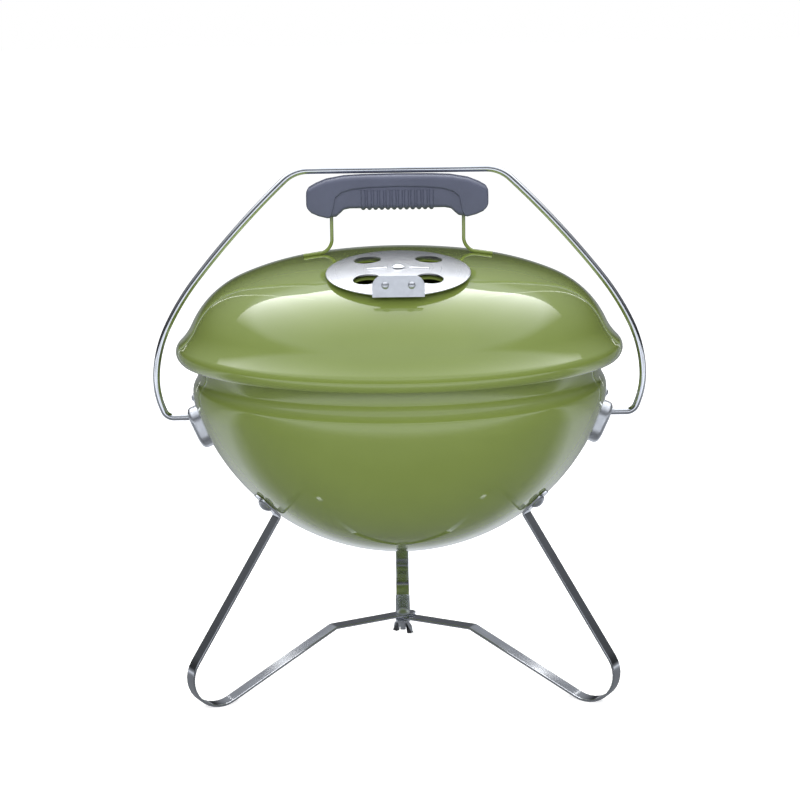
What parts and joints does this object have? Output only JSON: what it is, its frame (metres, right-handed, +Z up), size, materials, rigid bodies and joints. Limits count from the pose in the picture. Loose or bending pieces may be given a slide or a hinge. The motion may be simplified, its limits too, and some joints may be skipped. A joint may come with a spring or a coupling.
{
  "type": "kettle charcoal grill",
  "caption": "Portable round charcoal grill: enamelled bowl and domed lid with dampers, wire carrying bail, lid grip, inner grates and bent strap legs.",
  "frame": {"origin": "on the kettle's vertical axis, on the ground plane that the three feet stand on", "axes": "+Z up; -Y is the front, where the lid damper's tab is; the bail is hinged on a line along X"},
  "size_m": [0.4234, 0.3951, 0.4417],
  "materials": {
    "green_enamel": "glossy porcelain enamel",
    "bright_steel": "bright zinc or nickel plated, smooth",
    "zinc_steel": "bright plated",
    "damper_aluminium": "fine satin",
    "grip_plastic": "satin moulded",
    "grate_steel": "plated wire"
  },
  "bodies": {
    "kettle": {"bowl": "green_enamel", "leg_left": "bright_steel", "leg_right": "bright_steel", "leg_back": "bright_steel", "leg_bolts": "zinc_steel", "leg_washers": "zinc_steel", "leg_nuts": "zinc_steel", "hub_bolt": "zinc_steel", "bail_bracket_right": "bright_steel", "bail_bracket_left": "bright_steel", "bail_bracket_rivets": "zinc_steel", "grate_ledges": "green_enamel", "bowl_damper_left_pivot": "zinc_steel", "bowl_damper_left_washer": "zinc_steel", "bowl_damper_right_pivot": "zinc_steel", "bowl_damper_right_washer": "zinc_steel"},
    "lid": {"lid": "green_enamel", "lid_handle_rods": "green_enamel", "lid_handle_grip": "grip_plastic", "lid_damper_pivot": "zinc_steel", "lid_damper_washer": "zinc_steel"},
    "bail": {"bail_bar": "bright_steel", "bail_side_right": "bright_steel", "bail_side_left": "bright_steel"},
    "lid_damper": {"lid_damper_disc": "damper_aluminium", "lid_damper_tab": "damper_aluminium", "lid_damper_tab_rivets": "zinc_steel"},
    "bowl_damper_left": {"bowl_damper_left_disc": "damper_aluminium", "bowl_damper_left_tab": "damper_aluminium", "bowl_damper_left_tab_rivets": "zinc_steel"},
    "bowl_damper_right": {"bowl_damper_right_disc": "damper_aluminium", "bowl_damper_right_tab": "damper_aluminium", "bowl_damper_right_tab_rivets": "zinc_steel"},
    "cooking_grate": {"cooking_grate": "grate_steel"},
    "charcoal_grate": {"charcoal_grate": "grate_steel"},
    "wing_nut": {"wing_nut": "zinc_steel"}
  },
  "joints": [
    {"name": "bail_swing", "type": "hinge", "parent": "kettle", "child": "bail", "pos_m": [0, 0, 0.2286], "axis": [1, 0, 0], "range_deg": [-120, 120]},
    {"name": "lid_spin", "type": "hinge", "parent": "kettle", "child": "lid", "pos_m": [0, 0, 0.295], "axis": [0, 0, 1], "continuous": true},
    {"name": "lid_damper_turn", "type": "hinge", "parent": "lid", "child": "lid_damper", "pos_m": [0, -0.09, 0.3637], "axis": [0, -0.1876, 0.9822], "range_deg": [0, 45]},
    {"name": "bowl_damper_left_turn", "type": "hinge", "parent": "kettle", "child": "bowl_damper_left", "pos_m": [-0.1375, 0.07939, 0.205], "axis": [-0.7514, 0.4338, -0.4973], "range_deg": [0, 60]},
    {"name": "bowl_damper_right_turn", "type": "hinge", "parent": "kettle", "child": "bowl_damper_right", "pos_m": [0.1375, 0.07939, 0.205], "axis": [0.7514, 0.4338, -0.4973], "range_deg": [0, 60]},
    {"name": "cooking_grate_lift", "type": "slide", "parent": "kettle", "child": "cooking_grate", "axis": [0, 0, 1], "range_m": [0, 0.03]},
    {"name": "charcoal_grate_lift", "type": "slide", "parent": "kettle", "child": "charcoal_grate", "axis": [0, 0, 1], "range_m": [0, 0.05]},
    {"name": "wing_nut_turn", "type": "hinge", "parent": "kettle", "child": "wing_nut", "pos_m": [0, 0, 0.042], "axis": [0, 0, 1], "continuous": true}
  ]
}
